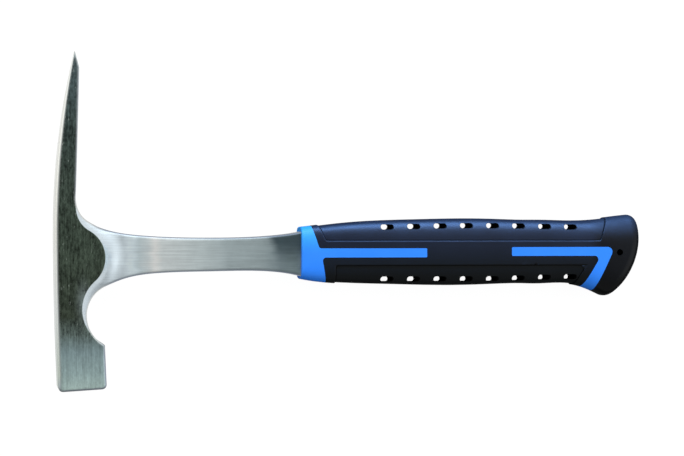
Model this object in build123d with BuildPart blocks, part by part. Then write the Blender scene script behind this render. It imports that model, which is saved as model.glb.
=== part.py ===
"""Rock hammer: a one-piece steel forging with a two-shot moulded handle.

The hammer lies on its side. X runs from the head to the butt, Y from the poll to the pick, and Z is
up, across the thickness. The origin is under the middle of the bounding box, on the resting surface.
Plans are drawn on MID, the forging's parting plane, whose own origin is where the outer side of the
head meets the handle's axis.
"""

import math
import os

from build123d import *

# ---- Driving dimensions, mm ----
OVERALL_LENGTH = 312.9
PICK_REACH = 105.0
POLL_REACH = 71.47
HEAD_THICKNESS = 25.0

# Head, in plan on MID
PICK_TIP = (10.4, PICK_REACH)
PICK_TIP_INNER = (11.0, PICK_REACH)
PICK_SHOULDER = (13.0, 96.6)
PICK_ROOT = (10.8, 29.0)
PICK_BACK_MIDDLE = (3.1, 64.4)
PICK_BACK_END = (-0.2, 12.0)
POLL_FRONT = (2.0, -71.6)
POLL_TOE = (26.8, -70.2)
POLL_HEEL = (25.8, -47.5)
NOTCH_END = (26.5, -17.2)
NOTCH_RADIUS = 16.8
POLL_CORNER = 2.4
HEAD_EDGE = 1.5

# Cheeks: flat over the head, curved in towards the tip of the pick
CHEEK_END = 102.0
PICK_TIP_HALF = 2.4
TIP_FLAT_HALF = 0.5

# Edges of the flat cheeks towards the neck, each an arc tangent to the next
BOSS_CENTRE = Vector(9.8, -2.4)
BOSS_RADIUS = 16.2
ROOT_RADIUS = 14.0
RELIEF_CENTRE = Vector(33.6, -29.0)

# Neck, in plan, and its half thickness
NECK_UNDER = ((37.0, -13.1), (55.0, -10.4), (84.0, -9.6), (113.6, -9.9), (131.0, -12.9))
NECK_OVER = ((131.0, 11.6), (113.6, 9.1), (80.0, 8.0), (45.0, 9.2), (22.0, 13.9))
ROOT_MIDDLE = (14.6, 18.8)
NECK_HALF = 6.0
SKIRT_RADIUS = 12.0
FLARE_START = 96.0
BOLSTER_END = 131.0
BOLSTER_HALF = 7.5

# Tang
TANG_END = 284.0
TANG_WIDTH = 16.0
TANG_THICKNESS = 9.0
TANG_CORNER = 4.0
TANG_HOLES = (160.0, 205.0, 250.0)
TANG_HOLE_RADIUS = 3.5

# Handle body. Stations along it: x, reach towards the pick, reach towards the poll, half depth and
# how square the section is, as a superellipse's power
COLLAR_START = 128.8
STATIONS = (
    (COLLAR_START, 13.7, 13.8, 10.6, 4.4),
    (142.0, 15.3, 15.8, 11.2, 4.0),
    (160.0, 17.1, 16.8, 11.9, 3.5),
    (190.0, 18.3, 17.7, 12.3, 3.1),
    (220.0, 18.8, 17.9, 12.4, 3.0),
    (250.0, 18.1, 17.2, 12.1, 3.0),
    (272.0, 17.8, 17.0, 11.9, 3.0),
    (284.0, 17.9, 19.1, 12.1, 2.9),
    (296.0, 19.0, 24.6, 12.4, 2.8),
    (308.0, 20.4, 30.0, 12.4, 2.7),
    (318.0, 21.5, 34.0, 12.4, 2.7),
)
SECTION_POINTS = 32
COLLAR_LIP = 0.7
BUTT_CENTRE = (271.8, 9.6)
BUTT_RADIUS = 41.3
BUTT_ROUNDING = 5.0

# Hard core round the tang
CORE_LENGTH = 158.0
CORE_WIDTH = 22.0
CORE_THICKNESS = 16.0
CORE_ROUNDING = 4.0

# Plans of what shows on the handle, as (x, y, rounding) corners. They run past its edges
COLLAR_PLAN = (
    (120.0, 22.0, 1.0),
    (131.5, 22.0, 1.0),
    (138.1, 2.35, 1.4),
    (195.5, 2.35, 0.6),
    (195.5, -2.45, 0.6),
    (139.5, -2.45, 1.8),
    (143.1, -22.0, 1.0),
    (120.0, -22.0, 1.0),
)
REAR_BAND_PLAN = (
    (241.6, 2.9, 0.6),
    (298.4, 2.9, 2.6),
    (285.1, -26.0, 0.5),
    (277.0, -26.0, 0.5),
    (290.6, -1.8, 2.0),
    (241.6, -1.8, 0.6),
)
UPPER_PANEL_PLAN = (
    (134.6, 22.0, 1.0),
    (141.6, 6.2, 1.6),
    (290.7, 6.2, 2.2),
    (296.4, 22.0, 1.0),
)
LOWER_PANEL_PLAN = (
    (147.2, -22.0, 1.0),
    (146.6, -6.6, 1.6),
    (283.2, -6.6, 2.6),
    (274.6, -22.0, 1.0),
)
PANEL_DEPTH = 0.55

# Through slots and lanyard hole
SLOT_PITCH = 14.29
FIRST_SLOT = 174.5
SLOT_LENGTH = 7.0
SLOT_WIDTH = 2.7
UPPER_SLOTS = (13.6, 13.9, 14.15, 14.3, 14.3, 14.15, 13.85, 13.6)
LOWER_SLOTS = (-13.95, -13.95, -13.95, -13.95, -13.95, -13.65, -13.25, -13.05)
LANYARD_X = 301.1
LANYARD_RADIUS = 1.7

HALF = HEAD_THICKNESS / 2
MID = Plane(origin=(-OVERALL_LENGTH / 2, (POLL_REACH - PICK_REACH) / 2, HALF))
SIDE = Plane(origin=MID.origin, x_dir=(1, 0, 0), z_dir=(0, -1, 0))
END = Plane(origin=MID.origin, x_dir=(0, 1, 0), z_dir=(1, 0, 0))


def step_out(radius, rise):
    """How far a concave arc has left its wall at a height above its foot."""
    return radius - math.sqrt(radius**2 - (radius - rise) ** 2)


def towards(start, end, distance):
    """The point at a distance from start on the way to end."""
    return start + (end - start).normalized() * distance


def cross_plane(x, y=0.0):
    """The plane across the handle at a station, drawn in (across, up)."""
    return Plane(origin=MID.from_local_coords((x, y, 0)), x_dir=(0, 1, 0), z_dir=(1, 0, 0))


# ---- Forged head, neck and tang ----
# The blank's walls stand inside the cheeks' edges by what the skirt steps out
skirt_step = step_out(SKIRT_RADIUS, HALF - NECK_HALF)
boss_wall = BOSS_RADIUS - skirt_step
root_wall = ROOT_RADIUS + skirt_step
relief_wall = (RELIEF_CENTRE - BOSS_CENTRE).length - boss_wall
wall_x = PICK_ROOT[0] - skirt_step
root_centre_x = wall_x + root_wall
root_rise = math.sqrt((boss_wall + root_wall) ** 2 - (root_centre_x - BOSS_CENTRE.X) ** 2)
root_centre = Vector(root_centre_x, BOSS_CENTRE.Y + root_rise)
root_tangent = towards(BOSS_CENTRE, root_centre, boss_wall)
relief_tangent = towards(BOSS_CENTRE, RELIEF_CENTRE, boss_wall)
relief_end = (RELIEF_CENTRE.X, RELIEF_CENTRE.Y - relief_wall)
blank_left = -15
blank_top = PICK_REACH + 15
blank_bottom = -POLL_REACH - 15

with BuildPart() as forging:
    # The blank stands over the cheeks, so that the skirt meets each cheek at an edge
    with BuildSketch(MID):
        with BuildLine():
            Polyline((wall_x, root_centre.Y), (wall_x, blank_top), (blank_left, blank_top),
                     (blank_left, blank_bottom), (relief_end[0], blank_bottom), relief_end)
            RadiusArc(relief_end, relief_tangent, relief_wall)
            RadiusArc(relief_tangent, root_tangent, -boss_wall)
            RadiusArc(root_tangent, (wall_x, root_centre.Y), root_wall)
        make_face()
    extrude(amount=HALF + SKIRT_RADIUS, both=True)

    # The neck slab, flared up to the bolster
    with BuildSketch(SIDE):
        with BuildLine():
            Polyline((BOLSTER_END, 0), (blank_left, 0), (blank_left, NECK_HALF), (FLARE_START, NECK_HALF))
            flare = TangentArc((FLARE_START, NECK_HALF), (BOLSTER_END, BOLSTER_HALF), tangent=(1, 0))
            Line(flare @ 1, (BOLSTER_END, 0))
        make_face()
        mirror(about=Plane.XZ)
    extrude(amount=blank_top, both=True)

    # The skirt, the concave sweep from the walls down to the neck
    boss_feet = forging.edges().filter_by(
        lambda edge: edge.geom_type == GeomType.CIRCLE
        and abs(edge.radius - boss_wall) < 0.01
        and abs(abs(edge.arc_center.Z - HALF) - NECK_HALF) < 0.01
    )
    fillet(boss_feet, SKIRT_RADIUS)

    # The cheeks
    with BuildSketch(END):
        with BuildLine():
            Polyline((PICK_REACH, 0), (blank_bottom, 0), (blank_bottom, HALF), (PICK_BACK_END[1], HALF))
            cheek = TangentArc((PICK_BACK_END[1], HALF), (CHEEK_END, PICK_TIP_HALF), tangent=(1, 0))
            Polyline(cheek @ 1, (PICK_REACH, TIP_FLAT_HALF), (PICK_REACH, 0))
        make_face()
        mirror(about=Plane.XZ)
    extrude(amount=OVERALL_LENGTH, both=True, mode=Mode.INTERSECT)

    # The outline at the parting plane
    with BuildSketch(MID):
        with BuildLine():
            pick_back = ThreePointArc(PICK_TIP, PICK_BACK_MIDDLE, PICK_BACK_END)
            TangentArc(pick_back @ 1, POLL_FRONT, tangent=pick_back % 1)
            Polyline(POLL_FRONT, POLL_TOE, POLL_HEEL)
            notch = RadiusArc(POLL_HEEL, NOTCH_END, NOTCH_RADIUS)
            under = Spline(notch @ 1, *NECK_UNDER, tangents=[notch % 1, (0.96, -0.27)])
            Line(under @ 1, NECK_OVER[0])
            over = Spline(*NECK_OVER, tangents=[(-0.97, -0.22), (-0.92, 0.39)])
            root = Spline(over @ 1, ROOT_MIDDLE, PICK_ROOT, tangents=[(-0.87, 0.5), (0, 1)])
            Polyline(root @ 1, PICK_SHOULDER, PICK_TIP_INNER, PICK_TIP)
        make_face()
    extrude(amount=HALF + SKIRT_RADIUS, both=True, mode=Mode.INTERSECT)

    # Rounded corners of the poll, then rounded edges along the pick's back and the striking face
    poll_corners = forging.edges().filter_by(Axis.Z).group_by(Axis.Y)[0]
    fillet(poll_corners, POLL_CORNER)
    back_edges = forging.edges().filter_by(GeomType.CIRCLE).group_by(SortBy.LENGTH)[-1]
    fillet(back_edges, HEAD_EDGE)

    # The tang, with holes that the handle's core fills
    with BuildSketch(MID):
        with Locations(((BOLSTER_END + TANG_END) / 2, 0)):
            Rectangle(TANG_END - BOLSTER_END, TANG_WIDTH)
        with Locations([(x, 0) for x in TANG_HOLES]):
            Circle(TANG_HOLE_RADIUS, mode=Mode.SUBTRACT)
    extrude(amount=TANG_THICKNESS / 2, both=True)
    tang_corners = forging.edges().filter_by(Axis.Z).group_by(Axis.X)[-1]
    fillet(tang_corners, TANG_CORNER)


# ---- Handle ----
def section_points(top, bottom, depth, power):
    """Evenly spread points of a superellipse with the given reaches, in (across, up)."""
    points = []
    for turn in range(SECTION_POINTS):
        across = math.cos(math.tau * turn / SECTION_POINTS)
        up = math.sin(math.tau * turn / SECTION_POINTS)
        radius = (abs(across) ** power + abs(up) ** power) ** (-1 / power)
        points.append((radius * across * (top + bottom) / 2, radius * up * depth))
    return points


def handle_sections(inset):
    """The handle's section at every station, drawn in by inset."""
    sections = []
    for x, top, bottom, depth, power in STATIONS:
        with BuildSketch(cross_plane(x, (top - bottom) / 2)) as section:
            with BuildLine():
                Spline(*section_points(top - inset, bottom - inset, depth - inset, power), periodic=True)
            make_face()
        sections.append(section.sketch)
    return sections


def rounded_outline(corners):
    """A closed plan outline from (x, y, rounding) corners."""
    points = [(x, y) for x, y, rounding in corners]
    roundings = [rounding for x, y, rounding in corners]
    with BuildSketch() as outline:
        with BuildLine():
            FilletPolyline(*points, radius=roundings, close=True)
        make_face()
    return outline.sketch


# The whole handle's outer shape, whose butt is cut on a curve and rounded
with BuildPart() as envelope:
    loft(handle_sections(0))
    with BuildSketch(MID):
        with Locations((BUTT_CENTRE[0] + BUTT_RADIUS, BUTT_CENTRE[1])):
            Rectangle(BUTT_RADIUS * 2, BUTT_RADIUS * 4)
        with Locations(BUTT_CENTRE):
            Circle(BUTT_RADIUS, mode=Mode.SUBTRACT)
    extrude(amount=HEAD_THICKNESS, both=True, mode=Mode.SUBTRACT)
    butt_rim = envelope.faces().sort_by(Axis.X)[-1].outer_wire().edges()
    fillet(butt_rim, BUTT_ROUNDING)
    collar_rim = envelope.faces().sort_by(Axis.X)[0].outer_wire().edges()
    fillet(collar_rim, COLLAR_LIP)

# The stretches where the hard core comes up to the surface
with BuildPart() as core_windows:
    with BuildSketch(MID):
        add(rounded_outline(COLLAR_PLAN))
        add(rounded_outline(REAR_BAND_PLAN))
    extrude(amount=HEAD_THICKNESS, both=True)

with BuildPart() as core_block:
    with BuildSketch(cross_plane(BOLSTER_END)):
        RectangleRounded(CORE_WIDTH, CORE_THICKNESS, CORE_ROUNDING)
    extrude(amount=CORE_LENGTH)

with BuildPart() as handle_core:
    add(envelope.part)
    add(core_windows.part, mode=Mode.INTERSECT)
    add(core_block.part)
    add(forging.part, mode=Mode.SUBTRACT)

# The skin taken off over the two recessed panels
with BuildPart() as panel_floor:
    loft(handle_sections(PANEL_DEPTH))

with BuildPart() as panel_skins:
    with BuildSketch(MID):
        add(rounded_outline(UPPER_PANEL_PLAN))
        add(rounded_outline(LOWER_PANEL_PLAN))
    extrude(amount=HEAD_THICKNESS, both=True)
    add(panel_floor.part, mode=Mode.SUBTRACT)

slot_places = [
    (FIRST_SLOT + SLOT_PITCH * index, y)
    for row in (UPPER_SLOTS, LOWER_SLOTS)
    for index, y in enumerate(row)
]

with BuildPart() as grip_overmould:
    add(envelope.part)
    add(panel_skins.part, mode=Mode.SUBTRACT)
    with BuildSketch(MID):
        with Locations(slot_places):
            SlotOverall(SLOT_LENGTH, SLOT_WIDTH)
        with Locations((LANYARD_X, 0)):
            Circle(LANYARD_RADIUS)
    extrude(amount=HEAD_THICKNESS, both=True, mode=Mode.SUBTRACT)
    add(core_windows.part, mode=Mode.SUBTRACT)
    add(core_block.part, mode=Mode.SUBTRACT)
    add(forging.part, mode=Mode.SUBTRACT)

# ---- Output ----
os.makedirs("parts", exist_ok=True)
forging.part.label = "forged_head_and_shank"
export_step(forging.part, "parts/forged_head_and_shank.step")
handle_core.part.label = "handle_core"
export_step(handle_core.part, "parts/handle_core.step")
grip_overmould.part.label = "grip_overmould"
export_step(grip_overmould.part, "parts/grip_overmould.step")
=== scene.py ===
import math

import bmesh
import bpy
import numpy as np
from mathutils import Matrix, Vector, geometry


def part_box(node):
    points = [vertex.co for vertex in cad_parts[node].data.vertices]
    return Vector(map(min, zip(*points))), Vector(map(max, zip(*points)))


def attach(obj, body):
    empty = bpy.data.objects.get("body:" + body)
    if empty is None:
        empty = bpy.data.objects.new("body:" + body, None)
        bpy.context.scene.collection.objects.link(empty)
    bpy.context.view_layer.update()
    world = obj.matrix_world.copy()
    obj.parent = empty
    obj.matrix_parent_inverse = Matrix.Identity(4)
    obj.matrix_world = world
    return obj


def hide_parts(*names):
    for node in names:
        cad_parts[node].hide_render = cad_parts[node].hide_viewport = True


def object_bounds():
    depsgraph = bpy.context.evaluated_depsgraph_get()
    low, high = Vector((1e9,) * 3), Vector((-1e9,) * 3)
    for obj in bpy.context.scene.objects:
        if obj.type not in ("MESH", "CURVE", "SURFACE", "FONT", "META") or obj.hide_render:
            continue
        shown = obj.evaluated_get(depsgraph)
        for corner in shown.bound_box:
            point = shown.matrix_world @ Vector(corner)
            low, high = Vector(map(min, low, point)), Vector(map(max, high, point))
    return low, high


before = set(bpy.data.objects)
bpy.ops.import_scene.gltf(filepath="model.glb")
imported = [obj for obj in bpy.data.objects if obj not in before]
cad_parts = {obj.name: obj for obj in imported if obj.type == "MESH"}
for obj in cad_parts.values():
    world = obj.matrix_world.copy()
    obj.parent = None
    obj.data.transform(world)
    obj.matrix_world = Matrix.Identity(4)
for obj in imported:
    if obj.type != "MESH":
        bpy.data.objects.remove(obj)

# A rock hammer lying on its side: a one-piece steel forging, a blue hard core and a black soft
# overmould. Lengths in this script are millimetres in the hammer's plan (x from the head to the
# butt, y from the handle's axis towards the pick, z from the parting plane) unless they say metres.
bpy.context.view_layer.update()
cad_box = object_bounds()
MM = 0.001

FORGING = "forged_head_and_shank"
CORE = "handle_core"
GRIP = "grip_overmould"

OVERALL_LENGTH, POLL_REACH = 312.9, 71.47
forging_low, forging_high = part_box(FORGING)
ORIGIN = Vector((
    -OVERALL_LENGTH / 2 * MM,
    forging_low.y + POLL_REACH * MM,
    (forging_low.z + forging_high.z) / 2,
))
HALF = (forging_high.z - forging_low.z) / 2 / MM


# ---------------------------------------------------------------- plan curves
def arc_through(start, middle, end, spacing):
    """Points of the arc through three points, and its direction at the end."""
    (ax, ay), (bx, by), (cx, cy) = start, middle, end
    d = 2 * (ax * (by - cy) + bx * (cy - ay) + cx * (ay - by))
    ux = ((ax**2 + ay**2) * (by - cy) + (bx**2 + by**2) * (cy - ay) + (cx**2 + cy**2) * (ay - by)) / d
    uy = ((ax**2 + ay**2) * (cx - bx) + (bx**2 + by**2) * (ax - cx) + (cx**2 + cy**2) * (bx - ax)) / d
    radius = math.hypot(ax - ux, ay - uy)
    first = math.atan2(ay - uy, ax - ux)
    turn = math.remainder(math.atan2(cy - uy, cx - ux) - first, math.tau)
    half = math.remainder(math.atan2(by - uy, bx - ux) - first, math.tau)
    if turn * half < 0 or abs(half) > abs(turn):
        turn -= math.copysign(math.tau, turn)
    count = max(2, math.ceil(abs(turn) * radius / spacing))
    angles = first + turn * np.linspace(0, 1, count + 1)
    points = np.stack([ux + radius * np.cos(angles), uy + radius * np.sin(angles)], 1)
    sign = math.copysign(1, turn)
    last = angles[-1]
    return points, np.array([-math.sin(last), math.cos(last)]) * sign


def arc_tangent(start, direction, end, spacing):
    """Points of the arc that leaves start in a direction and ends at end."""
    start, end = np.array(start, float), np.array(end, float)
    direction = direction / np.linalg.norm(direction)
    normal = np.array([-direction[1], direction[0]])
    chord = end - start
    radius = chord @ chord / (2 * (chord @ normal))
    centre = start + normal * radius
    bisector = (start + end) / 2 - centre
    middle = centre + bisector / np.linalg.norm(bisector) * abs(radius)
    return arc_through(tuple(start), tuple(middle), tuple(end), spacing)


def arc_radius(start, end, radius, spacing):
    """Points of the shorter arc of a radius between two points, bulging to the left of the way."""
    start, end = np.array(start, float), np.array(end, float)
    chord = end - start
    length = np.linalg.norm(chord)
    left = np.array([-chord[1], chord[0]]) / length
    rise = radius - math.sqrt(radius**2 - length**2 / 4)
    return arc_through(tuple(start), tuple((start + end) / 2 + left * rise), tuple(end), spacing)


def clamped_spline(knots, first, last, spacing):
    """Points of the smooth curve through knots with the given end directions."""
    knots = np.array(knots, float)
    steps = np.linalg.norm(np.diff(knots, axis=0), axis=1)
    count = len(knots)
    matrix, right = np.zeros((count, count)), np.zeros((count, 2))
    matrix[0, 0] = matrix[-1, -1] = 1
    right[0] = np.array(first) / np.linalg.norm(first)
    right[-1] = np.array(last) / np.linalg.norm(last)
    for i in range(1, count - 1):
        before, after = steps[i - 1], steps[i]
        matrix[i, i - 1 : i + 2] = 1 / before, 2 / before + 2 / after, 1 / after
        right[i] = 3 * ((knots[i] - knots[i - 1]) / before**2 + (knots[i + 1] - knots[i]) / after**2)
    slopes = np.linalg.solve(matrix, right)
    points = []
    for i in range(count - 1):
        span = steps[i]
        t = np.linspace(0, 1, max(2, math.ceil(span / spacing)) + 1)[:, None]
        points.append(
            (2 * t**3 - 3 * t**2 + 1) * knots[i]
            + (t**3 - 2 * t**2 + t) * span * slopes[i]
            + (3 * t**2 - 2 * t**3) * knots[i + 1]
            + (t**3 - t**2) * span * slopes[i + 1]
        )
    return np.concatenate([p[:-1] for p in points[:-1]] + [points[-1]])


def straight(start, end, spacing):
    """Points of the straight run between two points."""
    count = max(1, math.ceil(math.dist(start, end) / spacing))
    return np.linspace(start, end, count + 1)


def rounded_polyline(corners, spacing):
    """A run of straight lines with rounded corners, from (x, y, rounding) corners."""
    points = [np.array(corners[0][:2])[None]]
    at = np.array(corners[0][:2], float)
    for i in range(1, len(corners) - 1):
        corner, rounding = np.array(corners[i][:2], float), corners[i][2]
        before = (np.array(corners[i - 1][:2]) - corner) / math.dist(corners[i - 1][:2], corners[i][:2])
        after = (np.array(corners[i + 1][:2]) - corner) / math.dist(corners[i + 1][:2], corners[i][:2])
        half = math.acos(np.clip(before @ after, -1, 1)) / 2
        reach = rounding / math.tan(half)
        enter, leave = corner + before * reach, corner + after * reach
        points.append(straight(at, enter, spacing)[1:])
        if rounding:
            points.append(arc_tangent(enter, -before, leave, min(spacing, rounding / 4))[0][1:])
        at = leave
    points.append(straight(at, np.array(corners[-1][:2], float), spacing)[1:])
    return np.concatenate(points)


# ---------------------------------------------------------------- forging
FINE, TANG_SPACING, TIP_SPACING = 0.6, 2.0, 0.3
NECK_HALF = 6.0
SKIRT_RADIUS = 12.0
BOSS_CENTRE = np.array([9.8, -2.4])
BOSS_RADIUS = 16.2
ROOT_RADIUS = 14.0
RELIEF_CENTRE = np.array([33.6, -29.0])
CHEEK_TURN = 12.0
CHEEK_END, PICK_TIP_HALF = 102.0, 2.4
PICK_REACH, TIP_FLAT_HALF = 105.0, 0.5
FLARE_START, BOLSTER_END, BOLSTER_HALF = 96.0, 131.0, 7.5
TANG_END, TANG_HALF_WIDTH, TANG_HALF, TANG_CORNER = 284.0, 8.0, 4.5, 4.0
TANG_HOLES, TANG_HOLE_RADIUS, HOLE_SIDES = (160.0, 205.0, 250.0), 3.5, 24

# Corners of the plan, clockwise from the pick's point, with the notch's radius and the face's rounding
PICK_POINT, PICK_HEEL, PICK_SHOULDER = (10.4, PICK_REACH), (11.0, PICK_REACH), (13.0, 96.6)
PICK_ROOT = (10.8, 29.0)
NECK_TOP, BOLSTER_TOP, BOLSTER_BOTTOM = (22.0, 13.9), (BOLSTER_END, 11.6), (BOLSTER_END, -12.9)
NOTCH_NECK, NOTCH_POLL, NOTCH_RADIUS = (26.5, -17.2), (25.8, -47.5), 16.8
FACE_HANDLE_SIDE, FACE_BACK_SIDE, FACE_CORNER = (26.8, -70.2), (2.0, -71.6), 2.4

# Rounding of the rims: along the back it narrows towards the pick's point
BACK_ROUNDING, NECK_ROUNDING, NOTCH_ROUNDING, NOTCH_END_ROUNDING, TANG_ROUNDING = 1.9, 1.3, 0.7, 0.5, 0.5
ROOT_ROUNDING, INNER_ROUNDING, POINT_ROUNDING = 0.8, 0.35, 0.3
ROUNDING_UP_THE_PICK = (30, 64, 93, PICK_REACH), (1.9, 1.5, 0.8, 0.3)
# The visual mesh: turns of the rim with a ring of points each, rows of the side walls as shares of the
# half thickness, and the stretch of neck where nothing but the outline changes
RIM_ANGLES = (22.5, 45, 67.5, 90)
WALL_ROWS = (0.97, 0.6, 0.2, -0.2, -0.6, -0.97)
SKIRT_END, FLAT_NECK = 60, (62, 94)


def outline():
    """The forging's plan, anticlockwise, with the rounding of the rim at each point and how light the
    reflection painted on that rim is.
    """
    back, heading = arc_through(PICK_POINT, (3.1, 64.4), (-0.2, CHEEK_TURN), FINE)
    jaw, _ = arc_tangent(back[-1], heading, FACE_BACK_SIDE, FINE)
    front = jaw[np.linalg.norm(jaw - jaw[-1], axis=1) > FACE_CORNER]
    poll = rounded_polyline([(*front[-1], 0), (*FACE_BACK_SIDE, FACE_CORNER),
                             (*FACE_HANDLE_SIDE, FACE_CORNER), (*NOTCH_POLL, 0)], FINE)
    notch, heading = arc_radius(NOTCH_POLL, NOTCH_NECK, NOTCH_RADIUS, FINE)
    under = clamped_spline(
        [notch[-1], (37.0, -13.1), (55.0, -10.4), (84.0, -9.6), (113.6, -9.9), BOLSTER_BOTTOM],
        heading, (0.96, -0.27), FINE)
    tang = rounded_polyline(
        [(*BOLSTER_BOTTOM, 0), (BOLSTER_END, -TANG_HALF_WIDTH, 0),
         (TANG_END, -TANG_HALF_WIDTH, TANG_CORNER), (TANG_END, TANG_HALF_WIDTH, TANG_CORNER),
         (BOLSTER_END, TANG_HALF_WIDTH, 0), (*BOLSTER_TOP, 0)], TANG_SPACING)
    over = clamped_spline(
        [BOLSTER_TOP, (113.6, 9.1), (80.0, 8.0), (45.0, 9.2), NECK_TOP],
        (-0.97, -0.22), (-0.92, 0.39), FINE)
    root = clamped_spline([over[-1], (14.6, 18.8), PICK_ROOT], (-0.87, 0.5), (0, 1), FINE)
    inner = straight(PICK_ROOT, PICK_SHOULDER, FINE)
    point = np.concatenate([straight(PICK_SHOULDER, PICK_HEEL, FINE)[:-1],
                            straight(PICK_HEEL, PICK_POINT, TIP_SPACING)])
    # Each run leaves its last point to the next one. Where poll and notch meet, one point is a run
    # The last value of each run is how light the painted reflection on its rim is: a painted highlight at 1,
    # a painted dark reflection at 0
    runs = (
        (back, BACK_ROUNDING, 1.0), (jaw[: len(front)], BACK_ROUNDING, 1.0), (poll, NECK_ROUNDING, 0.0),
        (poll[[-1, -1]], NOTCH_END_ROUNDING, 0.3), (notch, NOTCH_ROUNDING, 0.9),
        (under, NECK_ROUNDING, 0.0), (tang, TANG_ROUNDING, 0.0),
        (over, NECK_ROUNDING, 0.0), (root, ROOT_ROUNDING, 0.8), (inner, INNER_ROUNDING, 0.4),
        (point, POINT_ROUNDING, 0.7))
    points = np.concatenate([run[:-1] for run, _, _ in runs])
    values = np.array([(rounding, light) for run, rounding, light in runs for _ in run[:-1]])
    values[:, 0] = np.minimum(values[:, 0], np.interp(points[:, 1], *ROUNDING_UP_THE_PICK))
    keep = np.linalg.norm(points - np.roll(points, 1, axis=0), axis=1) > 1e-4
    points, values = points[keep], values[keep]
    # Each run's values pass into the next run's over a few points
    reach = 8
    padded = np.concatenate([values[-reach:], values, values[:reach]])
    window = np.ones(2 * reach + 1) / (2 * reach + 1)
    return points, *(np.convolve(column, window, "valid") for column in padded.T)


def nearest(points, line, closed=True):
    """For each point: its distance to a line of points, and the index of the nearest run."""
    ends = np.roll(line, -1, axis=0) if closed else line[1:]
    starts = line if closed else line[:-1]
    ways = ends - starts
    squares = np.maximum((ways**2).sum(1), 1e-12)
    distances, indices = [], []
    for chunk in np.array_split(points, max(1, len(points) // 1500)):
        off = chunk[:, None] - starts[None]
        t = np.clip((off * ways).sum(2) / squares, 0, 1)
        gap = off - t[..., None] * ways
        square = (gap**2).sum(2)
        best = square.argmin(1)
        distances.append(np.sqrt(square[np.arange(len(chunk)), best]))
        indices.append(best)
    return np.concatenate(distances), np.concatenate(indices)


def inside(points, line):
    """Whether each point is inside a closed line."""
    ends = np.roll(line, -1, axis=0)
    result = []
    for chunk in np.array_split(points, max(1, len(points) // 2000)):
        x, y = chunk[:, :1], chunk[:, 1:]
        crosses = (line[:, 1] > y) != (ends[:, 1] > y)
        at = line[:, 0] + (y - line[:, 1]) * (ends[:, 0] - line[:, 0]) / np.where(
            ends[:, 1] == line[:, 1], 1e-12, ends[:, 1] - line[:, 1])
        result.append((crosses & (x < at)).sum(1) % 2 == 1)
    return np.concatenate(result)


def step_out(rise):
    """How far the skirt has left the blank's wall at a height above the neck."""
    return SKIRT_RADIUS - np.sqrt(SKIRT_RADIUS**2 - (SKIRT_RADIUS - rise) ** 2)


def blank_wall():
    """The foot of the wall that the skirt runs up to, from pick to notch, and its outward normals."""
    step = step_out(HALF - NECK_HALF)
    boss, root = BOSS_RADIUS - step, ROOT_RADIUS + step
    relief = np.linalg.norm(RELIEF_CENTRE - BOSS_CENTRE) - boss
    wall_x = PICK_ROOT[0] - step
    root_centre = np.array([wall_x + root, 0])
    root_centre[1] = BOSS_CENTRE[1] + math.sqrt((boss + root) ** 2 - (root_centre[0] - BOSS_CENTRE[0]) ** 2)
    line = straight((wall_x, PICK_REACH + 8), (wall_x, root_centre[1]), 1.0)
    points, normals = [line], [np.tile([1.0, 0.0], (len(line), 1))]

    def sweep(centre, radius, start, end, outward):
        angles = np.linspace(start, end, max(8, math.ceil(abs(end - start) * radius / 0.4)))
        ray = np.stack([np.cos(angles), np.sin(angles)], 1)
        points.append(centre + ray * radius)
        normals.append(ray * outward)

    to_root = math.atan2(*(root_centre - BOSS_CENTRE)[::-1])
    to_relief = math.atan2(*(RELIEF_CENTRE - BOSS_CENTRE)[::-1])
    sweep(root_centre, root, math.pi, to_root + math.pi, -1)
    sweep(BOSS_CENTRE, boss, to_root, to_relief, 1)
    sweep(RELIEF_CENTRE, relief, to_relief + math.pi, 1.5 * math.pi, -1)
    return np.concatenate(points), np.concatenate(normals)


def cheek_height(y):
    """Height of the ground cheek, which thins along an arc towards the pick's point."""
    drop = HALF - PICK_TIP_HALF
    run = CHEEK_END - CHEEK_TURN
    radius = (run**2 + drop**2) / (2 * drop)
    past = np.clip(y - CHEEK_TURN, 0, run)
    curved = HALF - radius + np.sqrt(radius**2 - past**2)
    tip = (np.clip(y, CHEEK_END, PICK_REACH) - CHEEK_END) / (PICK_REACH - CHEEK_END)
    return curved - tip * (PICK_TIP_HALF - TIP_FLAT_HALF)


def neck_height(x):
    """Height of the neck, its flare to the bolster, and the tang."""
    rise, run = BOLSTER_HALF - NECK_HALF, BOLSTER_END - FLARE_START
    radius = (run**2 + rise**2) / (2 * rise)
    past = np.clip(x - FLARE_START, 0, run)
    flared = NECK_HALF + radius - np.sqrt(radius**2 - past**2)
    return np.where(x > BOLSTER_END + 0.005, TANG_HALF, flared)


def skirt_height(distance):
    """Height of the swept skirt at a distance outside the blank's wall."""
    clipped = np.clip(distance, 0, SKIRT_RADIUS)
    swept = NECK_HALF + SKIRT_RADIUS - np.sqrt(np.maximum(SKIRT_RADIUS**2 - (SKIRT_RADIUS - clipped) ** 2, 0))
    return np.where(distance <= 0, 2 * HALF, swept)


def soft_least(a, b, width):
    """The lesser of two heights, with the crease between them rounded over a width."""
    blend = np.clip((width - np.abs(a - b)) / width, 0, 1)
    return np.minimum(a, b) - blend**2 * width / 4


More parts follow.
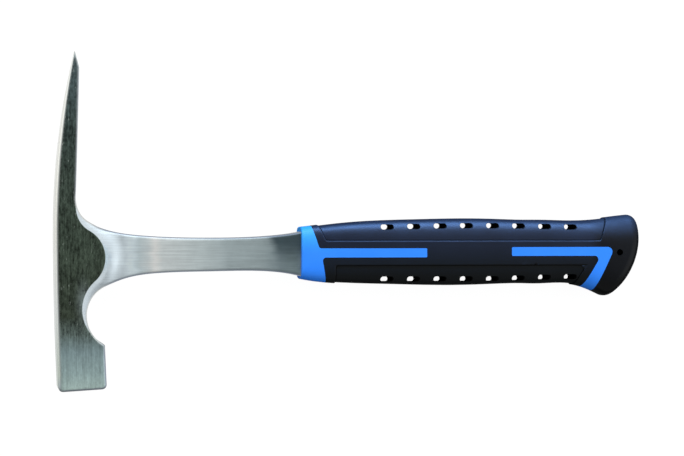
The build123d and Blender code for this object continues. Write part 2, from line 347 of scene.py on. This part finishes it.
def forging_surface(points, edge, rounding, light, wall):
    """Each point's height over the parting plane, how much it is ground cheek and rim, and how light the
    painted reflection on its rim is.
    """
    distance, at = nearest(points, edge)
    off_wall, wall_at = nearest(points, wall[0], closed=False)
    side = ((points - wall[0][wall_at]) * wall[1][wall_at]).sum(1)
    off_wall = np.where(side < 0, -off_wall, off_wall)
    neck = neck_height(points[:, 0])
    skirt = np.maximum(skirt_height(off_wall), neck)
    skirt = np.where(points[:, 0] > SKIRT_END, neck, skirt)
    cheek = cheek_height(points[:, 1])
    body = soft_least(cheek, skirt, 0.35)
    after = (at + 1) % len(edge)
    radius = np.minimum((rounding[at] + rounding[after]) / 2, body * 0.7)
    into = np.clip(distance, 0, radius)
    height = body - (radius - np.sqrt(np.maximum(radius**2 - (radius - into) ** 2, 0)))
    ground = np.clip((skirt - cheek) / 0.25 + 0.5, 0, 1)
    ground = ground * np.clip((distance / radius - 0.45) / 0.4, 0, 1)
    # Where the rim's painted reflection goes: a soft band that fades out by 1.2 mm on dark rims, the
    # rounding's own width on light rims
    light = (light[at] + light[after]) / 2
    soft = 1 - np.clip((distance - 0.3) / 0.9, 0, 1)
    sharp = 1 - np.clip((distance / radius - 0.7) / 0.4, 0, 1)
    rim = soft + (sharp - soft) * light
    return height, ground, rim, light


def inward_normals(edge):
    """Unit normals at the outline's points, towards the metal."""
    tangent = np.roll(edge, -1, axis=0) - np.roll(edge, 1, axis=0)
    tangent /= np.linalg.norm(tangent, axis=1)[:, None]
    return np.stack([-tangent[:, 1], tangent[:, 0]], 1)


def rim_rings(edge, inward, rounding):
    """Rings of points just inside the outline, where the rounding of its rim turns."""
    body_part = edge[:, 0] < BOLSTER_END - 0.2
    rings = []
    for angle in RIM_ANGLES:
        reach = (1 - math.cos(math.radians(angle))) * rounding
        ring = (edge + inward * reach[:, None])[body_part]
        gap, _ = nearest(ring, edge)
        rings.append(ring[gap > reach[body_part] * 0.9])
    return rings


def crease_points(foot, outward, edge, rounding):
    """Points on and beside the crease where the skirt meets the cheek, and the crease's own line."""
    depth = step_out(np.maximum(cheek_height(foot[:, 1]) - NECK_HALF, 0))
    for _ in range(8):
        at_crease = foot + outward * depth[:, None]
        depth = step_out(np.maximum(cheek_height(at_crease[:, 1]) - NECK_HALF, 0))
    usable = cheek_height(foot[:, 1]) > NECK_HALF + 0.5
    lines = [(foot + outward * (depth + shift)[:, None])[usable]
             for shift in (-0.45, -0.15, 0.0, 0.15, 0.45)]
    points = np.concatenate(lines)
    points = points[inside(points, edge)]
    gap, at = nearest(points, edge)
    return points[gap > rounding[at] + 0.15], lines[2]


def surface_grid(edge, rounding, crease_line):
    """A staggered grid over head and neck, coarser on the flat neck, kept off the rims and the crease."""
    xs, ys = np.arange(-2, BOLSTER_END + 1, FINE), np.arange(-73, 106, FINE)
    grid = np.stack(np.meshgrid(xs, ys), 2)
    grid[1::2, :, 0] += FINE / 2
    grid = grid.reshape(-1, 2)
    flat_neck = (grid[:, 0] > FLAT_NECK[0]) & (grid[:, 0] < FLAT_NECK[1])
    column = np.round((grid[:, 0] + 2) / FINE).astype(int)
    grid = grid[~flat_neck | (column % 3 == 0)]
    grid = grid[(grid[:, 0] < BOLSTER_END - 0.3) & inside(grid, edge)]
    gap, at = nearest(grid, edge)
    grid = grid[gap > rounding[at] + 0.3]
    gap, _ = nearest(grid, crease_line, closed=False)
    return grid[gap > 0.65]


def bolster_points():
    """Two close columns of points, between which the bolster steps down to the tang."""
    ys = np.arange(-11.4, 11.5, FINE)
    return np.concatenate([
        np.stack([np.full_like(ys, x), ys], 1)[np.abs(ys) < reach]
        for x, reach in ((BOLSTER_END - 0.02, 11.5), (BOLSTER_END + 0.02, 7.4))
    ])


def tang_points():
    """A coarse grid over the tang, clear of its holes."""
    grid = np.stack(np.meshgrid(np.arange(134, 282, 4.0), (-6.0, -2.0, 2.0, 6.0)), 2).reshape(-1, 2)
    for x in TANG_HOLES:
        grid = grid[np.hypot(grid[:, 0] - x, grid[:, 1]) > TANG_HOLE_RADIUS + 0.5]
    return grid


def tang_hole_rims():
    angles = np.arange(HOLE_SIDES) * math.tau / HOLE_SIDES
    circle = TANG_HOLE_RADIUS * np.stack([np.cos(angles), np.sin(angles)], 1)
    return [circle + (x, 0) for x in TANG_HOLES]


def triangulate(lines, free):
    """The plan cut into triangles: its points, the triangles, and the points along each closed line."""
    loops, start = [], 0
    for line in lines:
        loops.append(np.arange(start, start + len(line)))
        start += len(line)
    links = [(int(a), int(b)) for loop in loops for a, b in zip(loop, np.roll(loop, -1))]
    flat, _, faces, origins, _, _ = geometry.delaunay_2d_cdt(
        [Vector(p) for p in np.concatenate([*lines, *free])], links, [], 1, 1e-5)
    flat, faces = np.array([tuple(p) for p in flat]), np.array([tuple(f) for f in faces])
    middle = flat[faces].mean(1)
    good = inside(middle, lines[0])
    for x in TANG_HOLES:
        good &= np.hypot(middle[:, 0] - x, middle[:, 1]) > TANG_HOLE_RADIUS * 0.985
    where = {source: i for i, sources in enumerate(origins) for source in sources}
    return flat, faces[good], [np.array([where[int(i)] for i in loop]) for loop in loops]


def clean_mesh(mesh, crease_angle):
    """Faces out, no faces without area, and smooth shading except over sharp edges."""
    work = bmesh.new()
    work.from_mesh(mesh)
    bmesh.ops.dissolve_degenerate(work, dist=1e-7, edges=work.edges)
    bmesh.ops.recalc_face_normals(work, faces=work.faces)
    for face in work.faces:
        face.smooth = True
    for line in work.edges:
        if len(line.link_faces) == 2 and line.calc_face_angle() > crease_angle:
            line.smooth = False
    work.to_mesh(mesh)
    work.free()


def build_forging():
    edge, rounding, light = outline()
    inward = inward_normals(edge)
    foot, outward = blank_wall()
    crease, crease_line = crease_points(foot, outward, edge, rounding)
    free = [*rim_rings(edge, inward, rounding), crease, surface_grid(edge, rounding, crease_line),
            bolster_points(), tang_points()]
    flat, faces, rims = triangulate([edge, *tang_hole_rims()], free)
    height, ground, painted_reflection, light = forging_surface(flat, edge, rounding, light, (foot, outward))
    height[np.concatenate(rims[1:])] = TANG_HALF
    total = len(flat)
    top = np.column_stack([flat, height])

    # The side walls join the rims of the two faces
    verts, quads, back, start = [top, top * (1, 1, -1)], [], [np.ones(2 * total)], 2 * total
    # How much each wall faces the back, where the material paints the walls lighter
    facing = [np.clip(inward[:, 0] * 1.5 - 0.2, 0, 1)] + [np.zeros(HOLE_SIDES)] * len(TANG_HOLES)
    for rim, towards_back in zip(rims, facing):
        stack = [rim]
        for row in WALL_ROWS:
            verts.append(top[rim] * (1, 1, row))
            back.append(towards_back)
            stack.append(np.arange(start, start + len(rim)))
            start += len(rim)
        stack.append(rim + total)
        for upper, lower in zip(stack, stack[1:]):
            quads += np.stack([upper, lower, np.roll(lower, -1), np.roll(upper, -1)], 1).tolist()
    verts = np.concatenate(verts)
    polygons = faces.tolist() + (faces + total)[:, ::-1].tolist() + quads

    mesh = bpy.data.meshes.new("steel_forging")
    mesh.from_pydata([ORIGIN + Vector(v) * MM for v in verts.tolist()], [], polygons)
    layers = {"side": np.arange(len(verts)) >= 2 * total, "back": np.concatenate(back)}
    # The rim and light layers place the painted reflection on the rims
    for name, value in (("cheek", ground), ("rim", painted_reflection), ("light", light)):
        layers[name] = np.concatenate([value, value, np.zeros(len(verts) - 2 * total)])
    for name, value in layers.items():
        attribute = mesh.attributes.new(name, "FLOAT", "POINT")
        attribute.data.foreach_set("value", value.astype(np.float32))
    clean_mesh(mesh, math.radians(38))
    piece = bpy.data.objects.new("steel_forging", mesh)
    bpy.context.scene.collection.objects.link(piece)
    return piece


# ---------------------------------------------------------------- materials
# Recessed panels: side of the axis, distance of the long edge, then each end's x there and its lean per mm
PANELS = ((1, 6.2, 141.6, -0.443, 290.7, 0.361), (-1, 6.6, 146.6, 0.039, 283.2, -0.558))
PANEL_CORNER = 1.5
SLOT_PITCH, FIRST_SLOT, SLOT_LENGTH, SLOT_WIDTH = 14.29, 174.5, 7.0, 2.7
UPPER_SLOTS = (13.6, 13.9, 14.15, 14.3, 14.3, 14.15, 13.85, 13.6)
LOWER_SLOTS = (-13.95, -13.95, -13.95, -13.95, -13.95, -13.65, -13.25, -13.05)
SLOT_RANGE = 20.0


class Nodes:
    """A node tree under construction. Calling it adds a node; inputs are given by name or index."""

    def __init__(self, tree):
        self.tree = tree

    def link(self, socket, value):
        if isinstance(value, bpy.types.NodeSocket):
            self.tree.links.new(value, socket)
        else:
            socket.default_value = value

    def __call__(self, kind, inputs=None, **settings):
        node = self.tree.nodes.new("ShaderNode" + kind)
        for key, value in settings.items():
            setattr(node, key, value)
        for key, value in (inputs or {}).items():
            self.link(node.inputs[key], value)
        return node

    def math(self, operation, a, b=0.0, c=0.0):
        return self("Math", {0: a, 1: b, 2: c}, operation=operation).outputs[0]

    def add(self, a, b):
        return self.math("ADD", a, b)

    def times(self, a, b):
        return self.math("MULTIPLY", a, b)

    def weigh(self, a, b, share):
        """A share of one value and the rest of another."""
        return self.add(self.times(a, share), self.times(b, 1 - share))

    def spread(self, value, from_min, from_max, to_min=0.0, to_max=1.0, **settings):
        node = self("MapRange", {0: value, 1: from_min, 2: from_max, 3: to_min, 4: to_max}, **settings)
        return node.outputs[0]

    def ease(self, value, from_min, from_max, to_min=0.0, to_max=1.0):
        return self.spread(value, from_min, from_max, to_min, to_max, interpolation_type="SMOOTHSTEP")

    def ridge(self, value, start, top, end):
        """1 at the top, eased down to 0 on both sides."""
        return self.times(self.ease(value, start, top), self.ease(value, top, end, 1, 0))

    def ramp(self, value, start, end, stops):
        """A colour along a value, from (place, colour) stops between start and end."""
        node = self("ValToRGB", {0: self.spread(value, start, end)})
        elements = node.color_ramp.elements
        while len(elements) < len(stops):
            elements.new(0.5)
        for element, (place, colour) in zip(elements, stops):
            element.position = (place - start) / (end - start)
            element.color = (*colour, 1)
        return node.outputs[0]


class Shader(Nodes):
    """A material under construction."""

    def __init__(self, name):
        self.material = bpy.data.materials.new(name)
        self.material.use_nodes = True
        super().__init__(self.material.node_tree)
        self.surface = self.tree.nodes["Principled BSDF"]
        self.place = self("TexCoord").outputs["Object"]

    def plan(self):
        """How far along the handle and across it a point is, in the plan's millimetres."""
        axes = self("SeparateXYZ", {0: self.place}).outputs
        return [self.math("MULTIPLY_ADD", axes[i], 1 / MM, -ORIGIN[i] / MM) for i in (0, 1)]

    def mix(self, factor, a, b):
        node = self("Mix", data_type="RGBA")
        for socket, value in zip((node.inputs[0], node.inputs[6], node.inputs[7]), (factor, a, b)):
            self.link(socket, (*value, 1) if isinstance(value, tuple) else value)
        return node.outputs[2]

    def scale(self, colour, factor):
        return self("VectorMath", {0: colour, 3: factor}, operation="SCALE").outputs[0]

    def noise(self, scale, detail=3.0, roughness=0.5, stretch=(1, 1, 1)):
        moved = self("Mapping", {"Vector": self.place, "Scale": stretch}).outputs[0]
        node = self("TexNoise", {"Vector": moved, "Scale": scale, "Detail": detail, "Roughness": roughness})
        return node.outputs[0]

    def attribute(self, name):
        return self("Attribute", attribute_name=name).outputs["Fac"]

    def set(self, **values):
        for key, value in values.items():
            self.link(self.surface.inputs[key.replace("_", " ")], value)

    def bump(self, height, strength, distance):
        node = self("Bump", {"Height": height, "Strength": strength, "Distance": distance})
        self.link(self.surface.inputs["Normal"], node.outputs[0])


def ground_cheek_with_reflection(m, along, across, grain, blotch):
    """Ground cheeks: dark and mottled, the darkness partly their finish and partly a painted dark reflection,
    lighter over the poll and in a place next to the notch by painted reflection.
    """
    mottle = m.noise(1.0, 5.0, 0.7, (1000, 380, 500))
    speck = m.spread(m.noise(900.0, 1.0, 0.5, (1, 0.35, 1)), 0.70, 0.76)
    # Painted reflection: the cheek grows lighter towards the poll from about y -33; elsewhere its dark tone
    # is partly the finish and partly painted dark reflection
    ground = m.ramp(across, -75, 105, (
        (-70, (0.58, 0.74, 0.69)), (-62, (0.44, 0.58, 0.57)), (-51, (0.32, 0.43, 0.44)),
        (-42, (0.16, 0.21, 0.19)), (-33, (0.055, 0.070, 0.050)), (5, (0.064, 0.086, 0.064)),
        (40, (0.052, 0.070, 0.056)), (80, (0.044, 0.062, 0.061)), (103, (0.05, 0.066, 0.068))))
    uneven = m.weigh(m.weigh(mottle, blotch, 0.75), grain, 0.6)
    swing = m.math("MULTIPLY_ADD", m.ease(across, -36, -50), -0.75, 1.0)
    tone = m.math("MULTIPLY_ADD", m.spread(uneven, 0.38, 0.62, -1.0, 1.1), swing, 1.0)
    ground = m.mix(m.times(speck, m.times(swing, 0.35)), ground, (0.42, 0.46, 0.42))
    ground = m.scale(ground, m.math("MAXIMUM", tone, 0.25))
    # A painted reflection: a lighter place on the cheek next to the notch
    off_x = m.spread(along, 14.6, 17.6, clamp=False)
    off_y = m.spread(across, -25, -17, clamp=False)
    square = m.math("MULTIPLY_ADD", off_x, off_x, m.times(off_y, off_y))
    painted_reflection = m.math("POWER", math.e, m.times(square, -1.0))
    return m.mix(m.times(painted_reflection, m.spread(mottle, 0.35, 0.65, 0.25, 0.6)), ground, (0.42, 0.50, 0.50))


def brushed_neck_with_reflection(m, along, across, grain, blotch):
    """Brushed neck with painted reflections: brightest next to the head, a pale band, then darker towards the
    grip.
    """
    wander = m.spread(m.noise(1.0, 3.0, 0.5, (40, 260, 60)), 0.3, 0.7, -1.3, 1.3)
    neck = m.ramp(m.add(along, wander), 20, 135, (
        (27, (0.60, 0.67, 0.71)), (34.5, (0.70, 0.78, 0.82)), (38.5, (0.86, 0.96, 1.0)),
        (41, (0.84, 0.95, 0.99)), (44, (0.71, 0.81, 0.83)), (48.5, (0.78, 0.84, 0.84)),
        (52, (1.0, 1.0, 0.96)), (56, (0.82, 0.87, 0.86)), (75, (0.70, 0.78, 0.78)),
        (90, (0.49, 0.57, 0.58)), (108, (0.44, 0.52, 0.53)), (118, (0.27, 0.34, 0.36)),
        (127, (0.23, 0.30, 0.31)), (130.3, (0.34, 0.42, 0.42))))
    # Painted dark reflection: a darker patch in the upper half next to the grip
    slant = m.math("MULTIPLY_ADD", across, 0.25, m.math("MULTIPLY_ADD", wander, 0.6, along))
    patch = m.times(m.ease(slant, 112, 118), m.ease(m.add(wander, across), -8, 5))
    patch = m.times(patch, m.ease(along, 128.5, 130.5, 1, 0.3))
    neck = m.mix(m.times(patch, 0.95), neck, (0.075, 0.11, 0.125))
    return m.scale(neck, m.spread(m.weigh(grain, blotch, 0.7), 0.34, 0.66, 0.84, 1.15))


def steel_material():
    m = Shader("brushed_steel")
    along, across = m.plan()
    cheek = m.attribute("cheek")
    # Grinding marks run across the handle on the cheeks and along it on the neck
    grain_y, grain_x = (
        m.weigh(m.noise(1.0, 4.0, 0.6, coarse), m.noise(1.0, 2.0, 0.5, fine), 0.6)
        for coarse, fine in (((2400, 30, 60), (6500, 110, 300)), ((26, 2400, 60), (110, 6500, 300))))
    cloud, blotch = m.noise(60.0), m.noise(110.0, 3.0, 0.6)
    base = m.mix(cheek, brushed_neck_with_reflection(m, along, across, grain_x, blotch),
                 ground_cheek_with_reflection(m, along, across, grain_y, blotch))
    # Painted reflections: rims, light or dark, and the walls, painted darker where they face the handle than
    # along the back
    wall = m.ramp(across, -75, 105, ((-65, (0.42, 0.47, 0.42)), (-30, (0.60, 0.62, 0.61)),
                                     (10, (0.66, 0.66, 0.62)), (60, (0.72, 0.72, 0.68))))
    dark_rim = m.mix(m.spread(across, -71, -68), (0.05, 0.06, 0.08), (0.20, 0.23, 0.29))
    base = m.mix(m.attribute("rim"), base, m.mix(m.attribute("light"), dark_rim, wall))
    lines = m.add(m.noise(1.0, 3.0, 0.6, (50, 50, 2200)), m.times(blotch, 0.6))
    side = m.mix(m.attribute("back"), (0.30, 0.33, 0.32), wall)
    side = m.scale(side, m.spread(lines, 0.6, 1.0, 0.86, 1.08))
    base = m.mix(m.attribute("side"), base, side)
    grain = m("Mix", {0: cheek, 2: grain_x, 3: grain_y}, data_type="FLOAT").outputs[0]
    rough = m.add(m.spread(grain, 0.3, 0.7, 0.27, 0.43), m.times(cloud, 0.06))
    m.set(Base_Color=base, Metallic=1.0, Roughness=rough)
    m.bump(grain, 0.25, 0.00006)
    return m.material


def core_material():
    m = Shader("blue_core_plastic")
    along, across = m.plan()
    cloud = m.noise(90.0)
    base = m.mix(cloud, (0.018, 0.220, 0.92), (0.028, 0.245, 1.0))
    # Painted light: the collar is paler towards the top
    pale = m.times(m.ease(along, 152, 142), m.ease(across, -2, 13))
    base = m.mix(m.times(pale, 0.8), base, (0.035, 0.40, 1.0))
    m.set(Base_Color=base, Roughness=m.spread(cloud, 0.3, 0.7, 0.40, 0.50), Specular_IOR_Level=0.3)
    m.bump(m.noise(2600.0, 2.0), 0.12, 0.00005)
    return m.material


def panel_depth(m, along, across):
    """How far a point of the grip is inside the outline of a recessed panel, in millimetres."""
    depths = []
    for side, edge, left, left_lean, right, right_lean in PANELS:
        rise = m.math("SUBTRACT", m.times(across, side), edge)
        past_left = m.math("SUBTRACT", along, m.math("MULTIPLY_ADD", rise, left_lean, left))
        past_right = m.math("SUBTRACT", m.math("MULTIPLY_ADD", rise, right_lean, right), along)
        corner = m.math("SMOOTH_MIN", rise, past_left, PANEL_CORNER)
        depths.append(m.math("SMOOTH_MIN", corner, past_right, PANEL_CORNER))
    return m.math("MAXIMUM", *depths)


def slot_gap(m, along, across):
    """Distance outside the nearest through slot, in millimetres, and less than 0 inside it."""
    step = m.math("DIVIDE", m.math("SUBTRACT", along, FIRST_SLOT), SLOT_PITCH)
    number = m.math("MINIMUM", m.math("MAXIMUM", m.math("ROUND", step), 0.0), len(UPPER_SLOTS) - 1.0)
    off_x = m.times(m.math("ABSOLUTE", m.math("SUBTRACT", step, number)), SLOT_PITCH)
    off_x = m.math("MAXIMUM", m.math("SUBTRACT", off_x, (SLOT_LENGTH - SLOT_WIDTH) / 2), 0.0)
    gaps = []
    for row in (UPPER_SLOTS, LOWER_SLOTS):
        # A grey ramp holds each slot's y, as a share of the range from -SLOT_RANGE to SLOT_RANGE
        stops = [(index, ((y / SLOT_RANGE + 1) / 2,) * 3) for index, y in enumerate(row)]
        share = m.ramp(number, -0.5, len(row) - 0.5, stops)
        off_y = m.math("SUBTRACT", across, m.math("MULTIPLY_ADD", share, 2 * SLOT_RANGE, -SLOT_RANGE))
        gaps.append(m.math("SQRT", m.math("MULTIPLY_ADD", off_x, off_x, m.times(off_y, off_y))))
    return m.math("SUBTRACT", m.math("MINIMUM", *gaps), SLOT_WIDTH / 2)


def grip_material():
    m = Shader("black_grip_rubber")
    along, across = m.plan()
    inset = panel_depth(m, along, across)
    cloud = m.noise(70.0, 4.0, 0.55)
    base = m.mix(cloud, (0.0028, 0.0038, 0.0060), (0.0045, 0.0060, 0.0090))
    # Painted shade: the rubber is darker below the axis, eased in between y 5 and -6
    base = m.mix(m.ease(across, -6, 5), (0.0012, 0.0026, 0.0036), base)
    # The panels' outlines: a painted highlight on the lip outside, on the upper panel only, and a painted
    # shadow at the foot inside
    lip = m.times(m.ridge(inset, -0.9, -0.3, 0.0), m.ease(across, 0, 4))
    foot = m.times(m.ease(inset, -0.15, 0.2), m.ease(inset, 0.2, 0.7, 1, 0))
    base = m.mix(m.times(lip, 0.2), base, (0.022, 0.027, 0.036))
    base = m.mix(m.times(foot, 0.95), base, (0.0005, 0.0005, 0.0005))
    # Painted shade: black inside the through slots
    slot = m.ease(slot_gap(m, along, across), 0.02, 0.22, 1, 0)
    base = m.mix(slot, base, (0.0, 0.0, 0.0))
    # Painted shade: the butt is darker below; it is also duller above
    butt = m.ease(along, 284, 292)
    base = m.mix(m.times(butt, m.ease(across, 6, 19, 1, 0)), base, (0.0006, 0.0009, 0.0012))
    rough = m.add(m.spread(cloud, 0.3, 0.7, 0.42, 0.49), m.times(butt, m.ease(across, 4, 16, -0.17, 0.16)))
    rough = m.math("MAXIMUM", m.math("MULTIPLY_ADD", foot, 0.45, rough), slot)
    m.set(Base_Color=base, Roughness=rough, Specular_IOR_Level=0.18)
    step = m.ease(inset, -0.5, 0.25, 1, 0)
    relief = m.math("MULTIPLY_ADD", m.noise(3000.0, 2.0, 0.6), 0.10, m.times(step, 0.4))
    m.bump(m.math("MULTIPLY_ADD", foot, -0.35, relief), 1.0, 0.0004)
    return m.material


def floor_material():
    m = Shader("pale_floor")
    m.set(Base_Color=m.mix(m.noise(3.0, 2.0), (0.10, 0.10, 0.10), (0.12, 0.12, 0.12)), Roughness=0.9,
          Specular_IOR_Level=0.0, Emission_Color=(1, 1, 1, 1), Emission_Strength=0.95)
    return m.material


# ---------------------------------------------------------------- pieces
forging = build_forging()
forging.data.materials.append(steel_material())
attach(forging, "root")
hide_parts(FORGING)

grip_node, core_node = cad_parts[GRIP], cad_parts[CORE]
core_node.material_slots[0].material = core_material()
grip_node.material_slots[0].material = grip_material()

# ---------------------------------------------------------------- floor, light, camera
# From here on lengths are metres
FLOOR_REACH, FLOOR_GAP = 4.0, 0.0002
CAMERA_TURN = math.radians(9.5)
CAMERA_DISTANCE, CAMERA_LENS, SENSOR_WIDTH = 1.1687, 115.8, 36.0
AIM_SHIFT = Vector((-0.00458, -0.0037, 0))
towards_camera = Vector((-math.sin(CAMERA_TURN), 0, math.cos(CAMERA_TURN)))
centre = (cad_box[0] + cad_box[1]) / 2

floor_mesh = bpy.data.meshes.new("floor")
corners = [(x * FLOOR_REACH, y * FLOOR_REACH, 0) for x, y in ((-1, -1), (1, -1), (1, 1), (-1, 1))]
floor_mesh.from_pydata(corners, [], [(0, 1, 2, 3)])
floor = bpy.data.objects.new("floor", floor_mesh)
floor.location.z = cad_box[0].z - FLOOR_GAP
floor_mesh.materials.append(floor_material())
bpy.context.scene.collection.objects.link(floor)


def softbox(name, position, size, power, colour, pieces=()):
    """A rectangular light aimed at the hammer. Where pieces are given, it falls on them only."""
    light = bpy.data.lights.new(name, "AREA")
    light.shape = "RECTANGLE"
    light.size, light.size_y = size
    light.energy = power
    light.color = colour
    lamp = bpy.data.objects.new(name, light)
    lamp.location = position
    lamp.rotation_euler = (centre - Vector(position)).to_track_quat("-Z", "Y").to_euler()
    bpy.context.scene.collection.objects.link(lamp)
    if pieces:
        only_lights(lamp, pieces)


def only_lights(source, pieces):
    """Lets a light, or a surface that glows, fall on some pieces only."""
    group = bpy.data.collections.new(source.name + "_on")
    for piece in pieces:
        group.objects.link(piece)
    source.light_linking.receiver_collection = group


softbox("light_behind", (0.05, 0.9, 0.6), (1.6, 0.6), 4, (0.82, 0.91, 1.0))
softbox("light_right", (0.95, -0.25, 0.75), (0.6, 0.9), 1.2, (0.97, 0.98, 1.0))
softbox("light_left", (-0.95, 0.0, 0.35), (0.9, 0.4), 0.8, (1.0, 0.97, 0.90))
# A blue sheen along the top of the rubber, and a little more light on the plastic
softbox("light_sheen", (0.10, 1.0, 0.30), (1.0, 0.5), 84, (0.18, 0.41, 1.0), [grip_node])
softbox("light_core", (0.0, 0.85, 0.6), (1.0, 0.5), 4.5, (0.92, 1.0, 1.0), [core_node])
# The bright floor would put a white edge on the rubber and the plastic
only_lights(floor, [forging])

# The room: dark overhead where the camera stands, and brighter towards +Y than towards -Y
world = bpy.data.worlds.new("studio")
bpy.context.scene.world = world
world.use_nodes = True
sky = Nodes(world.node_tree)
background = world.node_tree.nodes["Background"]
direction = sky("TexCoord").outputs["Generated"]
overhead = sky("VectorMath", {0: direction, 1: towards_camera}, operation="DOT_PRODUCT").outputs["Value"]
stops = ((0.0, 1.0), (0.80, 1.0), (0.90, 0.80), (0.95, 0.60), (0.985, 0.45))
tint = sky.ramp(overhead, 0, 1, [(place, (0.98 * level, level, 1.01 * level)) for place, level in stops])
towards_y = sky("SeparateXYZ", {0: direction}).outputs[1]
sky.link(background.inputs[0], tint)
sky.link(background.inputs[1], sky.ease(towards_y, -0.6, 0.7, 0.45, 1.25))

camera_data = bpy.data.cameras.new("camera")
camera_data.lens = CAMERA_LENS
camera_data.sensor_width = SENSOR_WIDTH
camera_data.clip_start = 0.05
camera = bpy.data.objects.new("camera", camera_data)
camera_axes = Matrix((
    (math.cos(CAMERA_TURN), 0, math.sin(CAMERA_TURN)), (0, 1, 0), towards_camera)).transposed()
camera_place = centre + AIM_SHIFT + towards_camera * CAMERA_DISTANCE
camera.matrix_world = Matrix.Translation(camera_place) @ camera_axes.to_4x4()
bpy.context.scene.collection.objects.link(camera)
bpy.context.scene.camera = camera
bpy.context.scene.view_settings.view_transform = "Standard"

bpy.context.view_layer.update()
